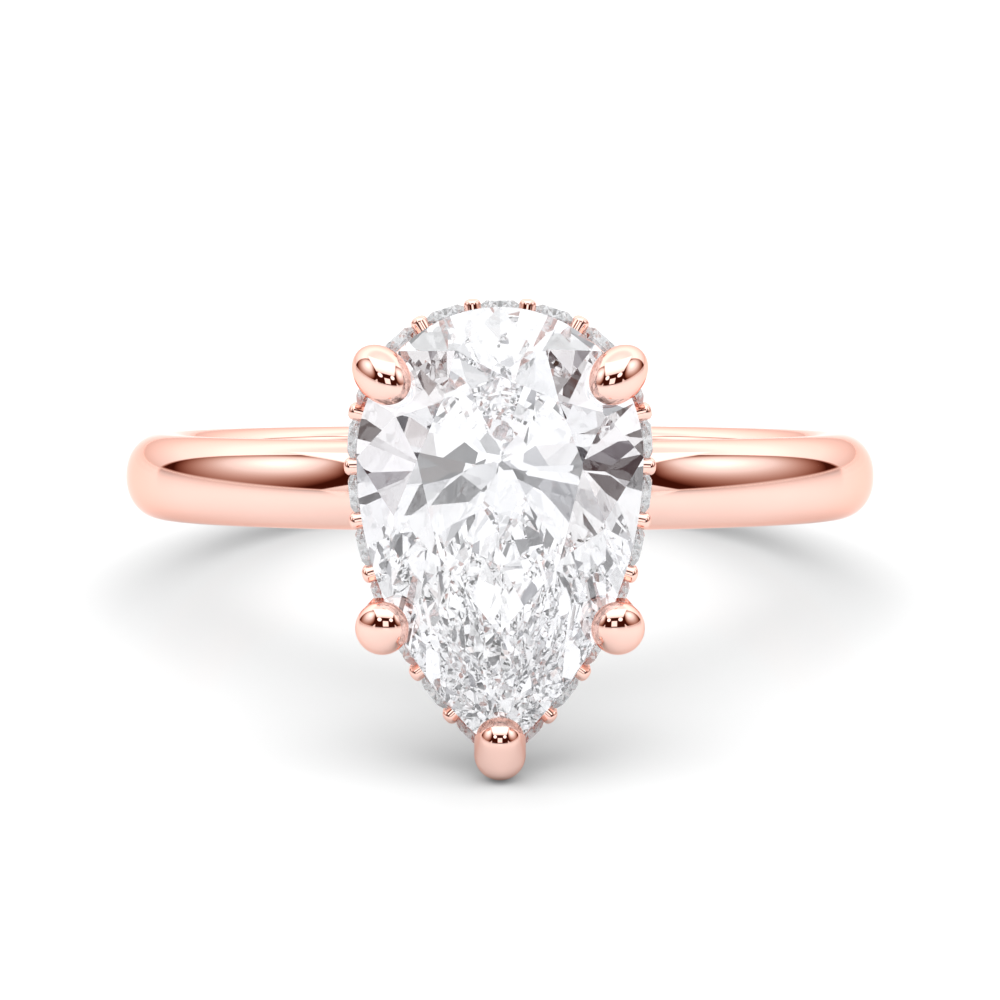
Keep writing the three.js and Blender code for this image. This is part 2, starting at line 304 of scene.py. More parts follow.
@dataclass(frozen=True)
class RoseGold:
    """14 carat rose gold, cast or drawn, then polished with rouge on a felt wheel.

    Copper in the alloy gives the pink. The mirror polish leaves soft clouds where the wheel
    pressed more or less, and hairlines finer than the eye picks out one by one.
    """

    polish: Polish
    colour: str = "#fdd6ca"
    deep_colour: str = "#fbd1c4"
    edge_colour: str = "#ffdfd5"
    cloud_mm: float = 1.6
    hairline_mm: float = 0.05
    hairline_depth_mm: float = 0.002
    clear_cloud: float = 0.3
    full_cloud: float = 0.7

    def material(self) -> bpy.types.Material:
        """Builds the finish.

        Returns:
            The material, made once for each polish.
        """
        label, smoothest, roughest, line_depth = self.polish.value
        name = f"rose_gold_{label}"
        if name in bpy.data.materials:
            return bpy.data.materials[name]
        material = bpy.data.materials.new(name)
        material.use_nodes = True
        tree = material.node_tree
        shader = tree.nodes["Principled BSDF"]
        shader.inputs["Metallic"].default_value = 1.0
        shader.inputs["Specular Tint"].default_value = linear(self.edge_colour)
        place = add_node(tree, "ShaderNodeTexCoord").outputs["Object"]
        clouds = add_node(
            tree, NOISE, {"Vector": place, "Scale": 1.0 / (self.cloud_mm * MM), "Detail": 3.0}
        ).outputs["Fac"]
        colours = {0: clouds, 6: linear(self.colour), 7: linear(self.deep_colour)}
        tint = add_node(tree, MIX, colours, data_type="RGBA")
        rough = add_node(
            tree, RANGE,
            {"Value": clouds, "From Min": self.clear_cloud, "From Max": self.full_cloud,
             "To Min": smoothest, "To Max": roughest},
        )
        hairlines = add_node(
            tree, NOISE,
            {"Vector": place, "Scale": 1.0 / (self.hairline_mm * MM), "Detail": 2.0},
        ).outputs["Fac"]
        bump = add_node(
            tree, "ShaderNodeBump",
            {"Height": hairlines, "Strength": line_depth, "Distance": self.hairline_depth_mm * MM},
        )
        tree.links.new(tint.outputs[2], shader.inputs["Base Color"])
        tree.links.new(rough.outputs["Result"], shader.inputs["Roughness"])
        tree.links.new(bump.outputs["Normal"], shader.inputs["Normal"])
        return material


@dataclass(frozen=True)
class Diamond:
    """Colourless diamond, cut and polished on a scaife.

    Its high refraction throws the studio back in hard bright and dark facets. Growth zones in
    the crystal give the faintest drift between water white and blue. Where the second colour
    is a dark grey, as on the small halo stones, it is painted shade that dims the stone in
    patches.
    """

    name: str = "diamond_brilliant"
    clear: str = "#ffffff"
    # The drift's second colour: a faint blue is the crystal's own, a dark grey is painted shade.
    zone_and_shade: str = "#f6f8ff"
    ior: float = 2.417
    zone_and_shade_mm: float = 2.2

    def material(self) -> bpy.types.Material:
        """Builds the finish, once.

        Returns:
            The material.
        """
        if self.name in bpy.data.materials:
            return bpy.data.materials[self.name]
        material = bpy.data.materials.new(self.name)
        material.use_nodes = True
        tree = material.node_tree
        shader = tree.nodes["Principled BSDF"]
        shader.inputs["Roughness"].default_value = 0.0
        shader.inputs["IOR"].default_value = self.ior
        shader.inputs["Transmission Weight"].default_value = 1.0
        place = add_node(tree, "ShaderNodeTexCoord").outputs["Object"]
        zone_and_shade_noise = add_node(
            tree, NOISE, {"Vector": place, "Scale": 1.0 / (self.zone_and_shade_mm * MM), "Detail": 1.0}
        ).outputs["Fac"]
        colours = {0: zone_and_shade_noise, 6: linear(self.clear), 7: linear(self.zone_and_shade)}
        tint = add_node(tree, MIX, colours, data_type="RGBA")
        tree.links.new(tint.outputs[2], shader.inputs["Base Color"])
        return material


# ---------------------------------------------------------------- bench


@dataclass
class Bench:
    """Turns drawings in the head's frame into finished pieces of the model."""

    placing: Matrix
    made: list[bpy.types.Object] = field(default_factory=list)

    def finish(
        self,
        name: str,
        drawing: bmesh.types.BMesh,
        material: bpy.types.Material,
        slot: str,
        nodes: Iterable[str],
        smooth_angle: float = 0.0,
    ) -> None:
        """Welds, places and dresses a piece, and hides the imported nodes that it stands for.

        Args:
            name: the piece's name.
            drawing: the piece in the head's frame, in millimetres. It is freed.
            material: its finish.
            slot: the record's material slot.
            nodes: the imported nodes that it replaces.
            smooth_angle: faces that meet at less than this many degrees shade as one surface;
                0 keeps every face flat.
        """
        bmesh.ops.remove_doubles(drawing, verts=drawing.verts, dist=WELD_DISTANCE)
        bmesh.ops.recalc_face_normals(drawing, faces=drawing.faces)
        bmesh.ops.transform(drawing, matrix=self.placing, verts=drawing.verts)
        mesh = bpy.data.meshes.new(name)
        drawing.to_mesh(mesh)
        drawing.free()
        if smooth_angle > 0.0:
            mesh.shade_smooth()
            mesh.set_sharp_from_angle(angle=math.radians(smooth_angle))
        else:
            mesh.shade_flat()
        mesh.materials.append(material)
        piece = bpy.data.objects.new(name, mesh)
        bpy.context.scene.collection.objects.link(piece)
        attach(piece, BODY)
        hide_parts(*nodes)
        # A stone throws back the studio's light and shows none of the metal behind it.
        piece.visible_transmission = slot != GOLD
        self.made.append(piece)
        log.info("%s: %d faces", name, len(mesh.polygons))


def turned(profile: Sequence[tuple[float, float]], steps: int) -> bmesh.types.BMesh:
    """Turns a profile about the Z axis, as on a lathe.

    Args:
        profile: (radius, height) points; it starts and ends on the axis.
        steps: how many steps the full turn takes.

    Returns:
        The closed drawing.
    """
    drawing = bmesh.new()
    verts = [drawing.verts.new((radius, 0.0, height)) for radius, height in profile]
    edges = [drawing.edges.new(pair) for pair in zip(verts, verts[1:])]
    bmesh.ops.spin(
        drawing, geom=verts + edges, cent=(0, 0, 0), axis=(0, 0, 1), angle=math.tau,
        steps=steps, use_merge=True,
    )
    bmesh.ops.remove_doubles(drawing, verts=drawing.verts, dist=WELD_DISTANCE)
    return drawing


def swept_band(
    outline: PearOutline, section: Sequence[tuple[float, float]], steps: int
) -> bmesh.types.BMesh:
    """Carries a closed section once round an outline.

    Args:
        outline: the line that the section follows.
        section: (outwards, height) points of the section.
        steps: how many steps the round takes.

    Returns:
        The closed ring.
    """
    drawing = bmesh.new()
    stands = outline.spaced(steps)

    def spot(stand: tuple[Vector, Vector], out: float, height: float) -> Vector:
        """Where a point of the section comes at a stand."""
        place, outwards = stand
        return place + outwards * out + Vector((0.0, 0.0, height))

    verts = [drawing.verts.new(spot(stands[0], *corner)) for corner in section]
    first = [drawing.edges.new((a, b)) for a, b in zip(verts, verts[1:] + verts[:1])]
    edges = first
    for stand in stands[1:]:
        grown = bmesh.ops.extrude_edge_only(drawing, edges=edges)["geom"]
        new_edges = [part for part in grown if isinstance(part, bmesh.types.BMEdge)]
        new_verts = [part for part in grown if isinstance(part, bmesh.types.BMVert)]
        for vert, corner in zip(new_verts, section):
            vert.co = spot(stand, *corner)
        edges = [edge for edge in new_edges if all(v in new_verts for v in edge.verts)]
    bmesh.ops.bridge_loops(drawing, edges=first + edges)
    return drawing


def merge_into(target: bmesh.types.BMesh, part: bmesh.types.BMesh, matrix: Matrix) -> None:
    """Adds a copy of a drawing to another one.

    Args:
        target: the drawing that grows.
        part: the drawing to copy; it stays as it is.
        matrix: where the copy goes.
    """
    scratch = bpy.data.meshes.new("scratch")
    part.to_mesh(scratch)
    scratch.transform(matrix)
    target.from_mesh(scratch)
    bpy.data.meshes.remove(scratch)


def combine(drawing: bmesh.types.BMesh, tool: bmesh.types.BMesh, operation: str) -> None:
    """Joins closed shapes to a drawing or cuts them out of it.

    Args:
        drawing: the drawing, which keeps the result.
        tool: the other closed shapes. It is freed.
        operation: UNION or DIFFERENCE.
    """
    objects = []
    for part in (drawing, tool):
        bmesh.ops.recalc_face_normals(part, faces=part.faces)
        mesh = bpy.data.meshes.new("scratch")
        part.to_mesh(mesh)
        thing = bpy.data.objects.new("scratch", mesh)
        bpy.context.scene.collection.objects.link(thing)
        objects.append(thing)
    tool.free()
    step = objects[0].modifiers.new("step", "BOOLEAN")
    step.operation = operation
    step.solver = "EXACT"
    step.use_self = True
    step.object = objects[1]
    depsgraph = bpy.context.evaluated_depsgraph_get()
    result = bpy.data.meshes.new_from_object(objects[0].evaluated_get(depsgraph))
    drawing.clear()
    drawing.from_mesh(result)
    bpy.data.meshes.remove(result)
    for thing in objects:
        mesh = thing.data
        bpy.data.objects.remove(thing)
        bpy.data.meshes.remove(mesh)


# ---------------------------------------------------------------- shank


@dataclass
class Shank:
    """The plain band: domed outside, flat inside with soft edges."""

    outer_radius: float = 10.01
    thickness: float = 1.76
    width: float = 2.28
    dome: float = 1.02
    flat: float = 1.5
    fullness: float = 2.15
    steps: int = 288

    def section(self) -> list[tuple[float, float]]:
        """The section's outline.

        Returns:
            (radius, height along the finger) points, once round.
        """
        dome_steps, edge_steps = 40, 10
        half = self.width / 2
        power = 2.0 / self.fullness
        points = []
        for i in range(dome_steps + 1):
            angle = math.pi * (i / dome_steps - 0.5)
            bulge = max(math.cos(angle), 0.0) ** power
            height = math.copysign(abs(math.sin(angle)) ** power, angle)
            points.append((self.outer_radius - self.dome + self.dome * bulge, half * height))
        edge = self.thickness - self.dome
        corner = []
        for i in range(1, edge_steps + 1):
            angle = 0.5 * math.pi * i / edge_steps
            radius = self.outer_radius - self.dome - edge * math.sin(angle)
            corner.append((radius, self.flat / 2 + (half - self.flat / 2) * math.cos(angle)))
        points += corner
        points += [(radius, -height) for radius, height in reversed(corner)]
        return points

    def build(self, bench: Bench) -> None:
        """Spins the section once round the finger.

        Args:
            bench: where the piece is finished.
        """
        drawing = bmesh.new()
        verts = [drawing.verts.new((0.0, height, radius)) for radius, height in self.section()]
        edges = [drawing.edges.new(pair) for pair in zip(verts, verts[1:] + verts[:1])]
        bmesh.ops.spin(
            drawing, geom=verts + edges, cent=(0, 0, 0), axis=(0, 1, 0), angle=math.tau,
            steps=self.steps, use_merge=True,
        )
        gold = RoseGold(Polish.MIRROR).material()
        bench.finish("shank_band", drawing, gold, GOLD, ["shank"], smooth_angle=60.0)


# ---------------------------------------------------------------- stones


@dataclass
class Brilliant:
    """A brilliant cut: every facet is ground as one flat plane, as on the wheel.

    The stone's table looks along +Z and the middle of its girdle is at z = 0.
    """

    outline: Outline
    centre: Vector
    crown: float
    pavilion: float
    girdle: float
    table_share: float = 0.57
    star_share: float = 0.79
    lower_half_share: float = 0.22
    crown_mains: tuple[float, ...] = tuple(i / 8 for i in range(8))
    pavilion_mains: tuple[float, ...] = tuple(i / 8 for i in range(8))
    rim_steps: int = 96
    tilt: float = 0.0
    seed: int = 7
    hand: random.Random = field(init=False)

    def __post_init__(self) -> None:
        """Starts the cutter's hand, whose small slips tilt the facets."""
        self.hand = random.Random(self.seed)

    def draw(self) -> bmesh.types.BMesh:
        """Cuts the stone.

        Returns:
            The faceted drawing.
        """
        drawing = self._blank()
        for corners in self._crown_facets() + self._pavilion_facets():
            self._grind(drawing, corners)
        return drawing

    def _blank(self) -> bmesh.types.BMesh:
        """The bruted blank.

        Returns:
            A drawing of the girdle's outline, carried past both ends of the stone.
        """
        drawing = bmesh.new()
        low = Vector((0.0, 0.0, -2.0 * self.pavilion))
        rim = [self.outline.point(i / self.rim_steps) + low for i in range(self.rim_steps)]
        face = drawing.faces.new([drawing.verts.new(place) for place in rim])
        grown = bmesh.ops.extrude_face_region(drawing, geom=[face])["geom"]
        top = [part for part in grown if isinstance(part, bmesh.types.BMVert)]
        rise = 2.0 * self.pavilion + 2.0 * self.crown
        bmesh.ops.translate(drawing, vec=(0, 0, rise), verts=top)
        bmesh.ops.recalc_face_normals(drawing, faces=drawing.faces)
        return drawing

    def _at(self, share: float, reach: float, height: float) -> Vector:
        """A point between the centre and the rim.

        Args:
            share: where on the outline it lies.
            reach: its share of the way from the centre to the rim.
            height: its height.

        Returns:
            The point.
        """
        rim = self.outline.point(share)
        place = self.centre + (rim - self.centre) * reach
        return Vector((place.x, place.y, height))

    @staticmethod
    def _halfway(shares: Sequence[float], index: int) -> float:
        """The outline's share halfway from one main to the next."""
        step = (shares[(index + 1) % len(shares)] - shares[index]) % 1.0
        return shares[index] + 0.5 * step

    def _meeting(
        self, shares: Sequence[float], facets: list[list[Vector]], index: int, reach: float
    ) -> Vector:
        """The point between two mains where a half facet's tip lies.

        Args:
            shares: where the mains stand on the outline.
            facets: the mains' corners.
            index: the first of the two mains.
            reach: how far out, as a share of the rim's distance.

        Returns:
            The point on the nearer of the two mains' planes.
        """
        flat = self._at(self._halfway(shares, index), reach, 0.0)
        heights = []
        for corners in (facets[index], facets[(index + 1) % len(facets)]):
            normal = (corners[1] - corners[0]).cross(corners[2] - corners[0])
            heights.append(normal.dot(corners[0] - flat) / normal.z)
        return Vector((flat.x, flat.y, min(heights, key=abs)))

    def _main_facets(
        self, shares: Sequence[float], edge: float, apexes: Sequence[Vector]
    ) -> list[list[Vector]]:
        """The mains, which rest on the girdle along the outline's direction.

        Args:
            shares: where the mains stand on the outline.
            edge: the height of the girdle's edge.
            apexes: the point that each main goes through.

        Returns:
            Three points on each main.
        """
        facets = []
        for share, apex in zip(shares, apexes):
            rim = self._at(share, 1.0, edge)
            facets.append([rim, rim + self.outline.tangent(share), apex])
        return facets

    def _half_facets(
        self, shares: Sequence[float], edge: float, tips: Sequence[Vector]
    ) -> list[list[Vector]]:
        """The pairs of half facets between neighbouring mains.

        Args:
            shares: where the mains stand on the outline.
            edge: the height of the girdle's edge.
            tips: the point where each pair's tip lies.

        Returns:
            Three points on each half facet.
        """
        facets = []
        for i, tip in enumerate(tips):
            middle = self._at(self._halfway(shares, i), 1.0, edge)
            for share in (shares[i], shares[(i + 1) % len(shares)]):
                facets.append([self._at(share, 1.0, edge), middle, tip])
        return facets

    def _crown_facets(self) -> list[list[Vector]]:
        """Lays out the crown.

        Returns:
            Three points on each main, upper half, star and the table.
        """
        shares = self.crown_mains
        count = len(shares)
        edge = self.girdle / 2
        corners = [self._at(share, self.table_share, edge + self.crown) for share in shares]
        mains = self._main_facets(shares, edge, corners)
        tips = [self._meeting(shares, mains, i, self.star_share) for i in range(count)]
        stars = [[corners[i], corners[(i + 1) % count], tips[i]] for i in range(count)]
        table = [[corners[0], corners[2], corners[5]]]
        return mains + self._half_facets(shares, edge, tips) + stars + table

    def _pavilion_facets(self) -> list[list[Vector]]:
        """Lays out the pavilion.

        Returns:
            Three points on each main and lower half.
        """
        shares = self.pavilion_mains
        edge = -self.girdle / 2
        culet = Vector((self.centre.x, self.centre.y, edge - self.pavilion))
        mains = self._main_facets(shares, edge, [culet] * len(shares))
        reach = self.lower_half_share
        tips = [self._meeting(shares, mains, i, reach) for i in range(len(shares))]
        return mains + self._half_facets(shares, edge, tips)

    def _grind(self, drawing: bmesh.types.BMesh, corners: list[Vector]) -> None:
        """Takes away what stands out past one facet's plane and closes the cut.

        Args:
            drawing: the stone so far.
            corners: three points on the facet.
        """
        normal = (corners[1] - corners[0]).cross(corners[2] - corners[0]).normalized()
        if normal.dot(corners[0] - self.centre) < 0:
            normal.negate()
        level = 0.9999
        if abs(normal.z) < level:
            slip = [self.hand.gauss(0.0, self.tilt) for _ in range(3)]
            normal = (normal + Vector(slip)).normalized()
        cut = bmesh.ops.bisect_plane(
            drawing, geom=drawing.verts[:] + drawing.edges[:] + drawing.faces[:], dist=1e-6,
            plane_co=corners[0], plane_no=normal, clear_outer=True, clear_inner=False,
        )["geom_cut"]
        rim = [part for part in cut if isinstance(part, bmesh.types.BMEdge)]
        if rim:
            bmesh.ops.contextual_create(drawing, geom=rim)


# ---------------------------------------------------------------- head


@dataclass
class CentreStone:
    """The pear brilliant, 7.0 x 10.9 mm."""

    girdle_height: float = 14.8
    culet_level: float = 0.7

    def draw(self) -> bmesh.types.BMesh:
        """Cuts the pear and sets it at its height.

        Returns:
            The faceted drawing.
        """
        stone = Brilliant(
            outline=PearOutline(), centre=Vector((0.0, self.culet_level, 0.0)),
            crown=0.98, pavilion=3.02, girdle=0.2, rim_steps=128, tilt=0.006,
            pavilion_mains=(0.055, 0.16, 0.27, 0.385, 0.5, 0.615, 0.73, 0.84, 0.945),
        )
        drawing = stone.draw()
        bmesh.ops.translate(drawing, vec=(0, 0, self.girdle_height), verts=drawing.verts)
        return drawing

    def shape(self, room: float) -> bmesh.types.BMesh:
        """The pear with some room round it.

        Args:
            room: how far the shape is grown at the girdle, in millimetres.

        Returns:
            The drawing.
        """
        drawing = self.draw()
        middle = Matrix.Translation((0.0, self.culet_level, self.girdle_height))
        growth = Matrix.Scale(1.0 + room / PearOutline().half_width, 4)
        matrix = middle @ growth @ middle.inverted()
        bmesh.ops.transform(drawing, matrix=matrix, verts=drawing.verts)
        return drawing

    def build(self, bench: Bench) -> None:
        """Finishes the pear.

        Args:
            bench: where the piece is finished.
        """
        diamond = Diamond().material()
        bench.finish("pear_diamond", self.draw(), diamond, STONE, ["centre_stone"])


@dataclass(frozen=True)
class ClawEnd:
    """The end of a claw: the place of its middle, its half axes and how far its top leans in.

    The half axes run across the claw, in over the stone and up.
    """

    reach: float
    height: float
    half_width: float
    half_length: float
    half_height: float
    lean: float


EGG_END = ClawEnd(4.07, 14.97, half_width=0.637, half_length=0.795, half_height=0.87, lean=0.225)
BALL_END = ClawEnd(4.35, 15.0, half_width=0.655, half_length=0.636, half_height=0.68, lean=0.155)
TIP_END = ClawEnd(6.35, 14.9, half_width=0.63, half_length=0.52, half_height=0.54, lean=0.38)


@dataclass
class Claw:
    """A drawn wire that rises from the collar and ends in an egg pushed in over the stone."""

    name: str
    node: str
    angle: float
    end: ClawEnd
    root_reach: float = 0.95
    root_height: float = 10.45
    root_radius: float = 0.31
    gallery_share: float = 0.56
    gallery_height: float = 12.1
    gallery_radius: float = 0.42
    throat_inset: float = 0.04
    throat_height: float = 14.4
    throat_share: float = 0.97
    throat_drop: float = 0.03
    # Where the wire swells: share of the end's reach, height, share of the end's half width.
    swell: tuple[tuple[float, float, float], ...] = ((0.8, 12.95, 0.8), (0.93, 13.75, 0.95))
    steps: int = 60
    sides: int = 40

    def build(self, bench: Bench, stone: bmesh.types.BMesh) -> None:
        """Draws the wire, joins its end to it and files the notch that holds the stone.

        Args:
            bench: where the piece is finished.
            stone: the shape that the notch leaves free.
        """
        drawing = self._wire()
        combine(drawing, self._end(), "UNION")
        turn = Matrix.Rotation(math.radians(self.angle), 4, "Z")
        bmesh.ops.transform(drawing, matrix=turn, verts=drawing.verts)
        combine(drawing, stone.copy(), "DIFFERENCE")
        gold = RoseGold(Polish.MIRROR).material()
        bench.finish(self.name, drawing, gold, GOLD, [self.node], smooth_angle=60.0)

    def _end(self) -> bmesh.types.BMesh:
        """The end of the claw: an egg that leans inwards.

        Returns:
            The closed drawing.
        """
        end = self.end
        drawing = bmesh.new()
        bmesh.ops.create_uvsphere(drawing, u_segments=96, v_segments=64, radius=1.0)
        size = Matrix.Diagonal((end.half_length, end.half_width, end.half_height, 1.0))
        slant = Matrix.Identity(4)
        slant[0][2] = -end.lean / end.half_height
        place = Matrix.Translation((end.reach, 0.0, end.height))
        bmesh.ops.transform(drawing, matrix=place @ slant @ size, verts=drawing.verts)
        return drawing

    def _wire(self) -> bmesh.types.BMesh:
        """The wire, drawn ring by ring from the collar up into its end.

        Returns:
            The closed drawing.
        """
        drawing = bmesh.new()
        across = Vector((0.0, 1.0, 0.0))
        ring = bmesh.ops.create_circle(drawing, segments=self.sides, radius=1.0, cap_ends=True)
        verts = ring["verts"]
        unit = [vert.co.copy() for vert in verts]
        edges = list({edge for vert in verts for edge in vert.link_edges})
        for i, (place, along, radius) in enumerate(self._stands()):
            if i:
                grown = bmesh.ops.extrude_edge_only(drawing, edges=edges)["geom"]
                verts = [part for part in grown if isinstance(part, bmesh.types.BMVert)]
                edges = [
                    part for part in grown
                    if isinstance(part, bmesh.types.BMEdge) and all(v in verts for v in part.verts)
                ]
            side = across.cross(along)
            for vert, spot in zip(verts, unit):
                vert.co = place + (side * spot.x + across * spot.y) * radius
        bmesh.ops.contextual_create(drawing, geom=edges)
        return drawing

    def _knots(self) -> list[tuple[Vector, float]]:
        """The wire's centre line, from the root up.

        Returns:
            Each knot with the wire's radius there.
        """
        reach = self.end.reach
        width = self.end.half_width
        rows = [
            (self.root_reach, self.root_height, self.root_radius),
            (self.gallery_share * reach, self.gallery_height, self.gallery_radius),
            *((share * reach, height, part * width) for share, height, part in self.swell),
            (reach - self.throat_inset, self.throat_height, self.throat_share * width),
            (reach, self.end.height - self.throat_drop, self.throat_share * width),
        ]
        return [(Vector((x, 0.0, z)), radius) for x, z, radius in rows]

    def _stands(self) -> list[tuple[Vector, Vector, float]]:
        """Where the wire's rings stand, with its root rounded off.

        Returns:
            The place, direction and radius of each ring.
        """
        knots = self._knots()
        padded = [knots[0]] + knots + [knots[-1]]
        line = []
        per_span = self.steps // (len(knots) - 1)
        for i in range(len(knots) - 1):
            (a, ra), (b, rb), (c, rc), (d, rd) = padded[i:i + 4]
            for j in range(per_span):
                t = j / per_span
                line.append((_blend_knots(a, b, c, d, t), _blend_knots(ra, rb, rc, rd, t)))
        line.append(knots[-1])
        stands = []
        for i, (place, radius) in enumerate(line):
            before = line[max(i - 1, 0)][0]
            after = line[min(i + 1, len(line) - 1)][0]
            stands.append((place, (after - before).normalized(), radius))
        return self._rounded_root(stands[0]) + stands

    @staticmethod
    def _rounded_root(stand: tuple[Vector, Vector, float]) -> list[tuple[Vector, Vector, float]]:
        """The rings that round off the wire's lower end.

        Args:
            stand: the wire's first full ring.

        Returns:
            The place, direction and radius of each ring below it, from the end up.
        """
        place, along, radius = stand
        rings = 10
        end_radius = 1e-3
        result = []
        for i in range(rings, 0, -1):
            angle = 0.5 * math.pi * i / rings
            shift = along * (-radius * math.sin(angle))
            result.append((place + shift, along, max(radius * math.cos(angle), end_radius)))
        return result


@dataclass
class TipClaw(Claw):
    """The claw at the tip: a ball over the wire, a smaller one over the stone, skinned over."""

    inner_height: float = 15.26
    cheek: float = 0.45
    cheek_drop: float = 0.4

    def _end(self) -> bmesh.types.BMesh:
        """The end of the claw: a tight skin over three balls.

        Returns:
            The closed drawing.
        """
        end = self.end
        width = end.half_width
        outer = (end.reach, end.height, width, width)
        inner = (end.reach - end.lean, self.inner_height, end.half_length, end.half_height)
        side = (end.reach - self.cheek, end.height - self.cheek_drop, width, width)
        drawing = bmesh.new()
        for reach, height, radius, half_height in (outer, inner, side):
            size = Matrix.Diagonal((radius, radius, half_height, 1.0))
            place = Matrix.Translation((reach, 0.0, height)) @ size
            bmesh.ops.create_uvsphere(
                drawing, u_segments=72, v_segments=48, radius=1.0, matrix=place
            )
        skin = drawing.edges[:] + drawing.faces[:]
        bmesh.ops.delete(drawing, geom=skin, context="EDGES_FACES")
        hull = bmesh.ops.convex_hull(drawing, input=drawing.verts[:])
        inside = set(hull["geom_interior"] + hull["geom_unused"])
        loose = [part for part in inside if isinstance(part, bmesh.types.BMVert)]
        bmesh.ops.delete(drawing, geom=loose, context="VERTS")
        return drawing


def _blend_knots(a: Knot, b: Knot, c: Knot, d: Knot, t: float) -> Knot:
    """A smooth value between two knots.

    Args:
        a: the knot before them.
        b: the first of the two.
        c: the second.
        d: the knot after them.
        t: the share of the way from b to c.

    Returns:
        The place or radius there.
    """
    return 0.5 * (
        2.0 * b + (c - a) * t + (2.0 * a - 5.0 * b + 4.0 * c - d) * t * t
        + (3.0 * b - a - 3.0 * c + d) * t * t * t
    )


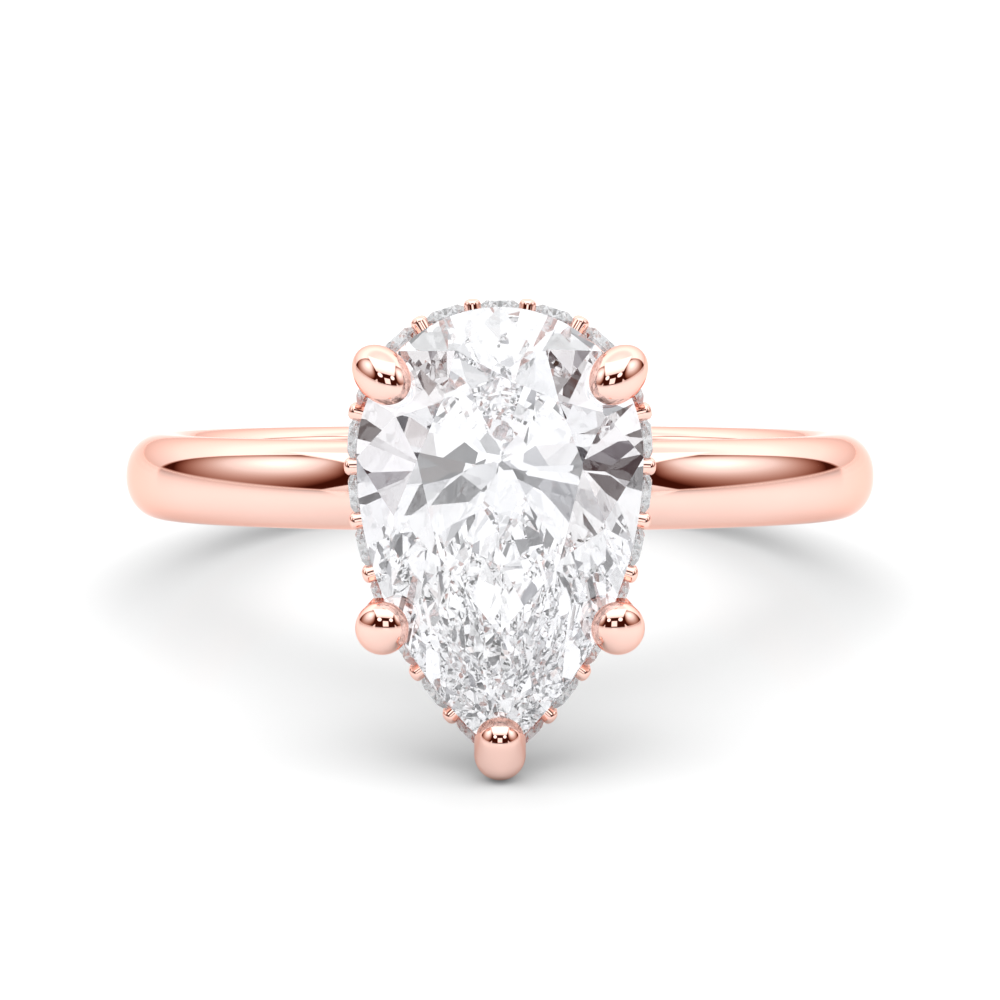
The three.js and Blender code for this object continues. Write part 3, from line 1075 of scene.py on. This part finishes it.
@dataclass
class Halo:
    """The hidden halo: a pear-shaped rail, small brilliants and the beads between them."""

    # The halo's line lies a little outside the centre stone's girdle.
    outline: PearOutline = PearOutline(offset=0.05, fullness=2.2, rise=3.57)
    height: float = 13.68
    pitch: float = 1.325
    stones_a_side: int = 10
    stone_radius: float = 0.59
    claw_seams: tuple[int, ...] = (3, 8)
    rail_front: float = -0.1
    rail_lip: float = -0.28
    rail_back: float = -0.95
    rail_top: float = 14.35
    rail_shoulder: float = 13.53
    rail_bottom: float = 12.97
    seat_room: float = 0.015
    seat_ledge: float = -0.045
    drill_radius: float = 0.3
    drill_depth: float = 1.5
    bead_radius: float = 0.21
    bead_length: float = 0.28
    bead_shoulder: float = 0.15
    bead_fullness: float = 0.8
    bead_root: float = -0.11
    bead_spread: float = 0.43
    foot_width: float = 0.09
    foot_depth: float = 0.18
    foot_level: float = -0.02

    def stone_distances(self) -> list[float]:
        """Where the stones stand along the halo, from the round end."""
        steps = range(-self.stones_a_side, self.stones_a_side + 1)
        return [i * self.pitch for i in steps]

    def bead_distances(self) -> list[float]:
        """Where the pairs of beads stand: in every gap that has no claw.

        Returns:
            Their distances along the halo, from the round end.
        """
        gaps = [i for i in range(1, self.stones_a_side + 1) if i not in self.claw_seams]
        right = [(i - 0.5) * self.pitch for i in gaps]
        return sorted(right + [-distance for distance in right])

    def stand(self, distance: float) -> Matrix:
        """Turns +Z outwards at a distance along the halo.

        Args:
            distance: millimetres from the round end.

        Returns:
            The matrix that places a piece there.
        """
        place, outwards = self.outline.stand_at(distance)
        up = Vector((0.0, 0.0, 1.0))
        along = up.cross(outwards)
        turn = Matrix((along, up, outwards)).transposed().to_4x4()
        return Matrix.Translation(place + up * self.height) @ turn

    def build(self, bench: Bench) -> None:
        """Makes the rail, then the stones, then the beads.

        Args:
            bench: where the pieces are finished.
        """
        self._build_rail(bench)
        self._build_stones(bench)
        self._build_beads(bench)

    def _build_rail(self, bench: Bench) -> None:
        """The rail, with a drilled seat behind every stone.

        Args:
            bench: where the piece is finished.
        """
        front, back, lip = self.rail_front, self.rail_back, self.rail_lip
        top, shoulder, bottom = self.rail_top, self.rail_shoulder, self.rail_bottom
        edge, soft_edge, lip_edge, back_edge = 0.03, 0.05, 0.04, 0.02
        section = [
            (front, bottom + soft_edge), (front, top - edge), (front - edge, top),
            (lip + lip_edge, top), (lip, top - edge), (back + back_edge, shoulder),
            (back, shoulder - soft_edge), (back, bottom + soft_edge),
            (back + soft_edge, bottom), (front - soft_edge, bottom),
        ]
        drawing = swept_band(self.outline, section, steps=200)
        cutter = bmesh.new()
        radius = self.stone_radius + self.seat_room
        clear_of_rail = 0.8
        profile = [
            (0.0, -self.drill_depth), (self.drill_radius, -self.drill_depth),
            (self.drill_radius, -0.5 * radius), (radius, self.seat_ledge),
            (radius, clear_of_rail), (0.0, clear_of_rail),
        ]
        seat = turned(profile, steps=32)
        for distance in self.stone_distances():
            merge_into(cutter, seat, self.stand(distance))
        seat.free()
        combine(drawing, cutter, "DIFFERENCE")
        gold = RoseGold(Polish.BENCH).material()
        bench.finish("halo_band", drawing, gold, GOLD, ["halo_rail"], smooth_angle=35.0)

    def _draw_stone(self) -> bmesh.types.BMesh:
        """Cuts one small brilliant.

        Returns:
            The faceted drawing, its table along +Z.
        """
        radius = self.stone_radius
        stone = Brilliant(
            outline=RoundOutline(radius), centre=Vector((0, 0, 0)), crown=0.3 * radius,
            pavilion=0.85 * radius, girdle=0.07 * radius, rim_steps=64,
        )
        return stone.draw()

    def _build_stones(self, bench: Bench) -> None:
        """The small brilliants, tables outwards.

        Args:
            bench: where the pieces are finished.
        """
        pattern = self._draw_stone()
        # The grey second colour here is painted shade: it darkens the small stones in patches.
        diamond = Diamond("diamond_melee", "#ffffff", "#7f878f", zone_and_shade_mm=0.2).material()
        for i, distance in enumerate(self.stone_distances(), start=1):
            drawing = bmesh.new()
            merge_into(drawing, pattern, self.stand(distance))
            node = f"halo_stone_{i:02d}"
            bench.finish(f"halo_diamond_{i:02d}", drawing, diamond, STONE, [node])
        pattern.free()

    def _build_beads(self, bench: Bench) -> None:
        """The shared beads, a pair on a common foot.

        Args:
            bench: where the pieces are finished.
        """
        rings = 10
        profile = [(0.0, self.bead_root), (self.bead_radius, self.bead_root)]
        for i in range(rings + 1):
            angle = 0.5 * math.pi * i / rings
            radius = self.bead_radius * math.cos(angle) ** self.bead_fullness
            height = self.bead_length + self.bead_shoulder * (math.sin(angle) - 1.0)
            profile.append((radius, height))
        post = turned(profile, steps=24)
        foot = bmesh.new()
        bmesh.ops.create_cube(foot, size=1.0)
        size = Matrix.Diagonal((self.foot_width, 2.0 * self.bead_spread, self.foot_depth, 1.0))
        bmesh.ops.transform(foot, matrix=size, verts=foot.verts)
        bmesh.ops.translate(foot, vec=(0, 0, self.foot_level), verts=foot.verts)
        gold = RoseGold(Polish.MIRROR).material()
        for i, distance in enumerate(self.bead_distances(), start=1):
            place = self.stand(distance)
            drawing = bmesh.new()
            merge_into(drawing, foot, place)
            for spread in (-self.bead_spread, self.bead_spread):
                merge_into(drawing, post, place @ Matrix.Translation((0, spread, 0)))
            node = f"halo_prong_{i:02d}"
            bench.finish(f"halo_beads_{i:02d}", drawing, gold, GOLD, [node], smooth_angle=50.0)
        post.free()
        foot.free()


@dataclass
class Basket:
    """The under-structure: gallery wire and the collar on the shank."""

    gallery_height: float = 12.1
    gallery_scale: float = 0.43
    gallery_radius: float = 0.32
    # The collar's profile, as radius and height.
    collar: tuple[tuple[float, float], ...] = (
        (0.0, 9.2), (0.98, 9.2), (0.98, 10.1), (1.03, 10.35), (1.15, 10.58), (1.25, 10.7),
        (1.25, 10.9), (1.2, 11.0), (1.05, 11.05), (0.0, 11.05),
    )

    def build(self, bench: Bench) -> None:
        """Makes both pieces.

        Args:
            bench: where the pieces are finished.
        """
        gold = RoseGold(Polish.MIRROR).material()
        sides = 24
        section = []
        for i in range(sides):
            angle = math.tau * i / sides
            out = self.gallery_radius * math.cos(angle)
            section.append((out, self.gallery_height + self.gallery_radius * math.sin(angle)))
        wire = swept_band(PearOutline(scale=self.gallery_scale), section, steps=96)
        bench.finish("gallery_wire", wire, gold, GOLD, ["gallery_rail"], smooth_angle=60.0)
        collar = turned(self.collar, steps=64)
        bench.finish("head_collar", collar, gold, GOLD, ["head_base"], smooth_angle=40.0)


# ---------------------------------------------------------------- studio


@dataclass
class Studio:
    """White sweep, white dome and softboxes round a camera that stands in a dark booth."""

    head: HeadFrame
    camera_distance: float = 159.3
    camera_lift: float = 1.737
    aim_drop: float = 0.664
    lens: float = 213.9
    floor_size: float = 3.0
    floor_colour: str = "#f1f1f1"
    floor_roughness: float = 0.06
    floor_ior: float = 1.04
    floor_glow: float = 0.13

    def build(self) -> None:
        """Makes the floor, the light and the camera."""
        self._build_floor()
        self._build_light()
        self._build_camera()
        view = bpy.context.scene.view_settings
        view.view_transform = "Standard"
        # Light meets many facets before it leaves a stone.
        cycles = bpy.context.scene.cycles
        cycles.max_bounces = 40
        cycles.glossy_bounces = 32
        cycles.transmission_bounces = 40
        cycles.caustics_reflective = False
        cycles.caustics_refractive = False

    def _build_floor(self) -> None:
        """The glossy white sweep that the ring lies on."""
        drawing = bmesh.new()
        bmesh.ops.create_grid(drawing, x_segments=2, y_segments=2, size=self.floor_size / 2)
        mesh = bpy.data.meshes.new("studio_floor")
        drawing.to_mesh(mesh)
        drawing.free()
        floor = bpy.data.objects.new("studio_floor", mesh)
        bpy.context.scene.collection.objects.link(floor)
        material = bpy.data.materials.new("white_acrylic")
        material.use_nodes = True
        shader = material.node_tree.nodes["Principled BSDF"]
        shader.inputs["Base Color"].default_value = linear(self.floor_colour)
        shader.inputs["Roughness"].default_value = self.floor_roughness
        shader.inputs["IOR"].default_value = self.floor_ior
        shader.inputs["Emission Color"].default_value = linear("#ffffff")
        shader.inputs["Emission Strength"].default_value = self.floor_glow
        mesh.materials.append(material)

    def _build_camera(self) -> None:
        """The camera, a little above the plane of the band."""
        lift = math.radians(self.camera_lift)
        back = self.head.outwards * math.cos(lift) + self.head.finger * math.sin(lift)
        data = bpy.data.cameras.new("camera")
        data.lens = self.lens
        data.clip_start = 0.01
        camera = bpy.data.objects.new("camera", data)
        bpy.context.scene.collection.objects.link(camera)
        camera.location = self.head.centre + back * (self.camera_distance * MM)
        up = Vector((0, 0, 1)) - back * back.z
        target = self.head.centre - up.normalized() * (self.aim_drop * MM)
        look = target - camera.location
        camera.rotation_mode = "QUATERNION"
        camera.rotation_quaternion = look.to_track_quat("-Z", "Y")
        bpy.context.scene.camera = camera

    def _build_light(self) -> None:
        """The studio as a world: what light comes from each direction."""
        world = bpy.data.worlds.new("studio")
        world.use_nodes = True
        bpy.context.scene.world = world
        tree = world.node_tree
        tree.nodes.clear()
        horizon = math.degrees(math.asin(self.head.outwards.z)) + self.camera_lift
        light = StudioSky(tree, horizon).colour()
        background = add_node(tree, "ShaderNodeBackground", {"Color": light, "Strength": 1.0})
        add_node(tree, "ShaderNodeOutputWorld", {"Surface": background.outputs["Background"]})


@dataclass(frozen=True)
class Card:
    """A card or box in the studio, as it lies on a mirror ball that faces the camera.

    Its sizes are shares of the ball's radius, measured from the ball's middle.
    """

    half_width: float
    low: float
    high: float
    light: float
    flare: float = 0.0
    soft: float = 0.012


class StudioSky:
    """Draws the studio on the world: what light comes from each direction.

    The front of the studio is laid out on a mirror ball that faces the camera. The two side
    boxes are laid out on the planes in which they stand, as shares of their distance.
    """

    DOME_SCALE = 2.0
    DOME = (
        (0, 0.88), (8, 1.08), (16, 1.32), (24, 1.42), (33, 1.6), (41, 1.6), (50, 1.25), (58, 1.2),
        (90, 1.5),
    )
    HORIZON_SOFT = 0.004
    BOOTH = Card(0.385, -0.5, 0.27, 0.05)
    KEY = Card(0.11, -0.10, 0.12, 1.4)
    TOP_BOX = Card(0.33, 0.27, 0.655, 1.85, flare=0.26)
    TOP_BOX_FADE = (0.27, 0.42, 1.05)
    LAMP_PLACE = (0.235, 0.185)
    LAMP_RADIUS = 0.078
    LAMP_SOFT = 0.012
    LAMP_LIGHT = 1.9
    SIDE_BOX_NEAREST = 0.001
    SIDE_BOX_LEAN = 0.376
    SIDE_BOX_FRONT = 0.68
    SIDE_BOX_FRONT_LEAN = 1.3
    SIDE_BOX_BACK = -0.85
    SIDE_BOX_FOOT = 0.02
    SIDE_BOX_TOP = 2.5
    # How soft its back, front, foot and top edges are.
    SIDE_BOX_SOFT = (0.04, 0.02, 0.02, 0.08)
    SIDE_BOX_MIDDLE = (-0.03, 0.95)
    SIDE_BOX_REACH = (0.85, 0.95, 1.9)
    SIDE_BOX_LIGHT = (1.95, 0.05, 1.18)
    SHADE_GREEN = 0.6
    SHADE_BLUE = 0.85
    STONE_LIGHT = 0.76
    STONE_WHITE = 0.98
    STONE_RED = 0.09

    def __init__(self, tree: bpy.types.NodeTree, camera_rise: float) -> None:
        """Starts from the direction of each ray.

        Args:
            tree: the world's node tree.
            camera_rise: how high the camera stands over the horizon, in degrees.
        """
        self.tree = tree
        way = add_node(tree, "ShaderNodeTexCoord").outputs["Generated"]
        parts = add_node(tree, "ShaderNodeSeparateXYZ", {"Vector": way}).outputs
        self.across = self._add(SUM, parts["X"], operation="ABSOLUTE")
        self.ahead = self._add(SUM, parts["Y"], -1.0, operation="MULTIPLY")
        self.height = parts["Z"]
        rise = self._add(SUM, self.height, operation="ARCSINE")
        self.rise = self._add(SUM, rise, math.degrees(1.0), operation="MULTIPLY")
        tilt = math.radians(camera_rise)
        to_camera = (0.0, -math.cos(tilt), math.sin(tilt))
        up = (0.0, math.sin(tilt), math.cos(tilt))
        half = self._add(VECTOR_SUM, way, to_camera, operation="ADD")
        normal = self._add(VECTOR_SUM, half, operation="NORMALIZE")
        sides = add_node(tree, "ShaderNodeSeparateXYZ", {"Vector": normal}).outputs
        self.ball_across = self._add(SUM, sides["X"], operation="ABSOLUTE")
        lifted = add_node(tree, VECTOR_SUM, {0: normal, 1: up}, operation="DOT_PRODUCT")
        self.ball_up = lifted.outputs["Value"]

    def colour(self) -> Socket:
        """The light from every direction: warm in the shade that metal mirrors, cool in stones.

        Returns:
            A socket that carries it.
        """
        light = self._radiance()
        shade = self._add(SUM, light, 1.0, operation="MINIMUM")
        dim = self._add(SUM, light, self.STONE_LIGHT, operation="MULTIPLY")
        dim = self._add(SUM, dim, self.STONE_WHITE, operation="MINIMUM")
        tinted = []
        fades = ((light, self.SHADE_GREEN), (light, self.SHADE_BLUE), (dim, self.STONE_RED))
        for whole, power in fades:
            fade = self._add(SUM, shade, power, operation="POWER")
            tinted.append(self._add(SUM, whole, fade, operation="MULTIPLY"))
        green, blue, frost = tinted
        mixed = ((light, light, light), (light, green, blue), (frost, frost, dim))
        plain, warm, cool = [self._add("ShaderNodeCombineColor", *shares) for shares in mixed]
        rays = add_node(self.tree, "ShaderNodeLightPath").outputs
        seen = plain
        for ray, tint in (("Is Glossy Ray", warm), ("Is Transmission Ray", cool)):
            mix = add_node(self.tree, MIX, {0: rays[ray], 6: seen, 7: tint}, data_type="RGBA")
            seen = mix.outputs[2]
        return seen

    def _radiance(self) -> Socket:
        """Lays the boxes, cards and lamps over the dome, the farthest first.

        Returns:
            A socket that carries the light from every direction, as one number.
        """
        ahead, up = self._side_box_place()
        above = self._step(self.height, 0.0, self.HORIZON_SOFT, True)
        booth = self._add(SUM, self._mask(self.BOOTH), above, operation="MULTIPLY")
        low, high, front_light = self.TOP_BOX_FADE
        top_light = self._add(RANGE, self.ball_up, low, high, front_light, self.TOP_BOX.light)
        layers = (
            (self._side_box_mask(ahead, up), self._side_box_light(ahead, up)),
            (self._mask(self.TOP_BOX), top_light),
            (booth, self.BOOTH.light),
            (self._mask(self.KEY), self.KEY.light),
            (self._lamp_mask(), self.LAMP_LIGHT),
        )
        light = self._dome()
        for mask, over in layers:
            light = add_node(self.tree, MIX, {0: mask, 2: light, 3: over}).outputs[0]
        return light

    def _dome(self) -> Socket:
        """The white walls and ceiling, brighter or dimmer with height.

        Returns:
            A socket that carries their light.
        """
        zenith = self.DOME[-1][0]
        share = self._add(SUM, self.rise, zenith, operation="DIVIDE")
        ramp = add_node(self.tree, "ShaderNodeValToRGB", {"Fac": share})
        stops = ramp.color_ramp.elements
        for rise, _ in self.DOME[1:-1]:
            stops.new(rise / zenith)
        for stop, (rise, light) in zip(stops, self.DOME):
            grey = light / self.DOME_SCALE
            stop.position = rise / zenith
            stop.color = (grey, grey, grey, 1.0)
        return self._add(SUM, ramp.outputs["Color"], self.DOME_SCALE, operation="MULTIPLY")

    def _side_box_place(self) -> tuple[Socket, Socket]:
        """Where a direction meets a side box's plane.

        Returns:
            How far ahead of the ring and how far up, as shares of the plane's distance.
        """
        lean = self._add(SUM, self.height, self.SIDE_BOX_LEAN, operation="MULTIPLY")
        nearness = self._add(SUM, self.across, lean, operation="SUBTRACT")
        nearness = self._add(SUM, nearness, self.SIDE_BOX_NEAREST, operation="MAXIMUM")
        ahead = self._add(SUM, self.ahead, nearness, operation="DIVIDE")
        return ahead, self._add(SUM, self.height, nearness, operation="DIVIDE")

    def _side_box_mask(self, ahead: Socket, up: Socket) -> Socket:
        """1 on the side boxes and 0 elsewhere.

        Args:
            ahead: how far ahead of the ring a direction meets the box's plane.
            up: how far up.

        Returns:
            The socket that carries the mask.
        """
        lean = self._add(SUM, up, self.SIDE_BOX_FRONT_LEAN, operation="MULTIPLY")
        front = self._add(SUM, ahead, lean, operation="SUBTRACT")
        soft_back, soft_front, soft_foot, soft_top = self.SIDE_BOX_SOFT
        edges = [
            self._step(ahead, self.SIDE_BOX_BACK, soft_back, True),
            self._step(front, self.SIDE_BOX_FRONT, soft_front, False),
            self._step(up, self.SIDE_BOX_FOOT, soft_foot, True),
            self._step(up, self.SIDE_BOX_TOP, soft_top, False),
        ]
        return self._all(edges)

    def _side_box_light(self, ahead: Socket, up: Socket) -> Socket:
        """A side box is bright in its middle and falls off to its edges.

        Args:
            ahead: how far ahead of the ring a direction meets the box's plane.
            up: how far up.

        Returns:
            The socket that carries its light.
        """
        middle_ahead, middle_up = self.SIDE_BOX_MIDDLE
        reach_ahead, reach_down, reach_up = self.SIDE_BOX_REACH
        off = self._add(SUM, ahead, middle_ahead, operation="SUBTRACT")
        off = self._add(SUM, off, reach_ahead, operation="DIVIDE")
        over = self._add(SUM, up, middle_up, operation="SUBTRACT")
        above = self._add(SUM, over, reach_up, operation="DIVIDE")
        below = self._add(SUM, over, -reach_down, operation="DIVIDE")
        rise = self._add(SUM, above, below, operation="MAXIMUM")
        middle, edge, reach = self.SIDE_BOX_LIGHT
        return self._add(RANGE, self._away(off, rise), 0.0, reach, middle, edge)

    def _lamp_mask(self) -> Socket:
        """1 on the two small lamps over the camera and 0 elsewhere.

        Returns:
            The socket that carries the mask.
        """
        across, up = self.LAMP_PLACE
        off = self._add(SUM, self.ball_across, across, operation="SUBTRACT")
        over = self._add(SUM, self.ball_up, up, operation="SUBTRACT")
        return self._step(self._away(off, over), self.LAMP_RADIUS, self.LAMP_SOFT, False)

    def _mask(self, card: Card) -> Socket:
        """1 on a card and 0 elsewhere, with soft edges.

        Args:
            card: the card, which may widen upwards.

        Returns:
            The socket that carries the mask.
        """
        rise = self._add(SUM, self.ball_up, card.low, operation="SUBTRACT")
        flare = self._add(SUM, rise, card.flare, operation="MULTIPLY")
        across = self._add(SUM, self.ball_across, flare, operation="SUBTRACT")
        edges = [
            self._step(across, card.half_width, card.soft, False),
            self._step(self.ball_up, card.low, card.soft, True),
            self._step(self.ball_up, card.high, card.soft, False),
        ]
        return self._all(edges)

    def _away(self, across: Socket, up: Socket) -> Socket:
        """How far a point lies from the middle that two distances are measured from.

        Args:
            across: one distance.
            up: the distance at right angles to it.

        Returns:
            The socket that carries the whole distance.
        """
        squares = [self._add(SUM, side, side, operation="MULTIPLY") for side in (across, up)]
        total = self._add(SUM, *squares, operation="ADD")
        return self._add(SUM, total, operation="SQRT")

    def _step(self, value: Socket, at: float, soft: float, rising: bool) -> Socket:
        """A soft step between 0 and 1 at a value, up if it is rising and down if not."""
        ends = (0.0, 1.0) if rising else (1.0, 0.0)
        return self._add(RANGE, value, at - soft, at + soft, *ends)

    def _all(self, masks: Sequence[Socket]) -> Socket:
        """Keeps what every mask shows.

        Args:
            masks: sockets that carry 1 or 0.

        Returns:
            A socket that carries 1 where they all do.
        """
        result = masks[0]
        for mask in masks[1:]:
            result = self._add(SUM, result, mask, operation="MULTIPLY")
        return result

    def _add(self, kind: str, *inputs: Value, **settings: str) -> Socket:
        """Adds a node that takes its inputs in order, and gives its first output."""
        return add_node(self.tree, kind, dict(enumerate(inputs)), **settings).outputs[0]


# ---------------------------------------------------------------- ring


def claws() -> list[Claw]:
    """Lists the claws.

    Returns:
        The upper pair, the lower pair and the one at the tip.
    """
    made = []
    for level, angle, end in (("upper", 45.2, EGG_END), ("lower", -48.7, BALL_END)):
        for side, turn in (("right", angle), ("left", 180.0 - angle)):
            made.append(Claw(f"{level}_{side}_claw", f"claw_{level}_{side}", turn, end))
    return made + [TipClaw("tip_claw", "claw_tip", -90.0, TIP_END)]


def main() -> None:
    """Builds the ring and its studio, in order."""
    logging.basicConfig(level=logging.INFO, format="%(name)s: %(message)s")
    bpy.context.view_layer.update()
    head = HeadFrame.from_record(frame["record"])
    bench = Bench(head.placing)
    Shank().build(bench)
    Basket().build(bench)
    centre_stone = CentreStone()
    notch = centre_stone.shape(NOTCH_ROOM)
    for claw in claws():
        claw.build(bench, notch)
    notch.free()
    centre_stone.build(bench)
    Halo().build(bench)
    Studio(head).build()
    log.info("%d pieces", len(bench.made))


if __name__ == "__main__":
    main()
